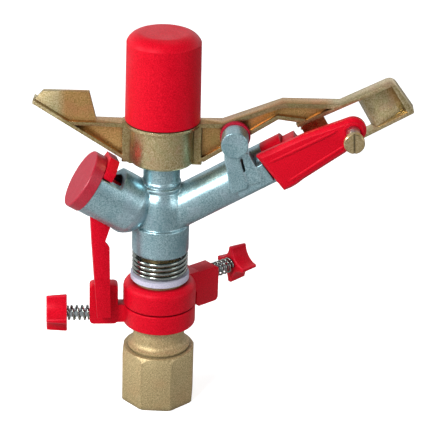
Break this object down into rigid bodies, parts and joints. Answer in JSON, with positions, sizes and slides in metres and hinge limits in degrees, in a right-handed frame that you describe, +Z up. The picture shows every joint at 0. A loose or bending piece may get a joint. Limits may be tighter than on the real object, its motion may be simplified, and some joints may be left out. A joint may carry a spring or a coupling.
{
  "type": "impact sprinkler",
  "caption": "Part-circle impact sprinkler with a swinging hammer arm, sprung cap, rising nozzle, trip lever and sector collars on a threaded inlet.",
  "frame": {"origin": "on the riser axis, in the bottom face of the threaded inlet", "axes": "+Z up along the riser axis, +X to the side that the nozzle throws to, -Y to the side of the anvil post"},
  "size_m": [0.1642, 0.0687, 0.1763],
  "materials": {
    "brass_inlet": "sand-cast brass, matt and slightly dull",
    "brass_stem": "turned brass",
    "zinc_casting": "zinc die casting, grey and semi-matt",
    "brass_arm": "yellow-passivated casting, olive-gold and semi-gloss",
    "red_plastic": "moulded red plastic, fine satin grain",
    "red_rubber": "moulded rubber",
    "steel_bright": "bright drawn spring wire",
    "steel_plain": "plain zinc-plated steel",
    "brass_head": "turned brass",
    "nylon_white": "moulded nylon",
    "black_rubber": "moulded rubber",
    "acetal_white": "moulded acetal"
  },
  "bodies": {
    "base": {"inlet_housing": "brass_inlet", "lower_slip_washer": "nylon_white", "rubber_seal": "black_rubber", "upper_slip_washer": "nylon_white", "seat_washer": "nylon_white"},
    "head": {"bearing_stem": "brass_stem", "sprinkler_body": "zinc_casting", "pressure_spring": "steel_bright", "hammer_pin": "steel_plain", "thrust_washer": "nylon_white", "hammer_spring": "steel_bright", "spring_retainer": "steel_plain", "spring_cap": "red_plastic", "anvil_bumper": "red_rubber", "stream_straightener": "nylon_white", "nozzle": "red_plastic", "jet_breaker_holder": "red_plastic", "breaker_sleeve": "steel_plain", "trip_pin": "steel_plain", "trip_spring": "steel_bright", "boss_cover": "red_plastic"},
    "hammer": {"hammer_arm": "brass_arm", "lower_hammer_bush": "acetal_white", "upper_hammer_bush": "acetal_white"},
    "trip": {"trip_lever": "red_plastic"},
    "breaker": {"breaker_screw": "steel_plain"},
    "breaker_turn": {"breaker_head": "brass_head"},
    "lower_stop": {"lower_collar": "red_plastic", "lower_lock_spring": "steel_bright"},
    "lower_screw": {"lower_thumb_screw": "steel_plain"},
    "lower_grip": {"lower_knob": "red_plastic"},
    "upper_stop": {"upper_collar": "red_plastic", "upper_lock_spring": "steel_bright"},
    "upper_screw": {"upper_thumb_screw": "steel_plain"},
    "upper_grip": {"upper_knob": "red_plastic"}
  },
  "joints": [
    {"name": "head_turn", "type": "hinge", "parent": "base", "child": "head", "pos_m": [0, 0, 0.074], "axis": [0, 0, 1], "range_deg": [0, 165]},
    {"name": "hammer_swing", "type": "hinge", "parent": "head", "child": "hammer", "pos_m": [0, 0, 0.127], "axis": [0, 0, 1], "range_deg": [0, 95], "stiffness_Nm_per_rad": 0.03, "springref_deg": -34.38},
    {"name": "trip_rock", "type": "hinge", "parent": "head", "child": "trip", "pos_m": [0, 0, 0.0878], "axis": [-0.8361, -0.1474, 0.5284], "range_deg": [0, 7]},
    {"name": "breaker_feed", "type": "slide", "parent": "head", "child": "breaker", "axis": [0, 1, 0], "range_m": [0, 0.0034]},
    {"name": "breaker_spin", "type": "hinge", "parent": "breaker", "child": "breaker_turn", "pos_m": [0.08186, 0, 0.13979], "axis": [0, 1, 0], "range_deg": [0, 1800]},
    {"name": "lower_collar_turn", "type": "hinge", "parent": "base", "child": "lower_stop", "pos_m": [0, 0, 0.0434], "axis": [0, 0, 1], "range_deg": [-45, 0]},
    {"name": "lower_screw_feed", "type": "slide", "parent": "lower_stop", "child": "lower_screw", "axis": [-0.9936, -0.1132, 0], "range_m": [0, 0.002]},
    {"name": "lower_knob_spin", "type": "hinge", "parent": "lower_screw", "child": "lower_grip", "pos_m": [-0.04153, -0.00473, 0.0427], "axis": [-0.9936, -0.1132, 0], "range_deg": [0, 1030]},
    {"name": "upper_collar_turn", "type": "hinge", "parent": "base", "child": "upper_stop", "pos_m": [0, 0, 0.0538], "axis": [0, 0, 1], "range_deg": [0, 50]},
    {"name": "upper_screw_feed", "type": "slide", "parent": "upper_stop", "child": "upper_screw", "axis": [0.7431, 0.6691, 0], "range_m": [0, 0.002]},
    {"name": "upper_knob_spin", "type": "hinge", "parent": "upper_screw", "child": "upper_grip", "pos_m": [0.03106, 0.02797, 0.0545], "axis": [0.7431, 0.6691, 0], "range_deg": [0, 1030]}
  ],
  "couplings": [
    {"joint": "breaker_spin", "follows": "breaker_feed", "rad_per_m": 8976},
    {"joint": "lower_knob_spin", "follows": "lower_screw_feed", "rad_per_m": 8976},
    {"joint": "upper_knob_spin", "follows": "upper_screw_feed", "rad_per_m": 8976}
  ]
}
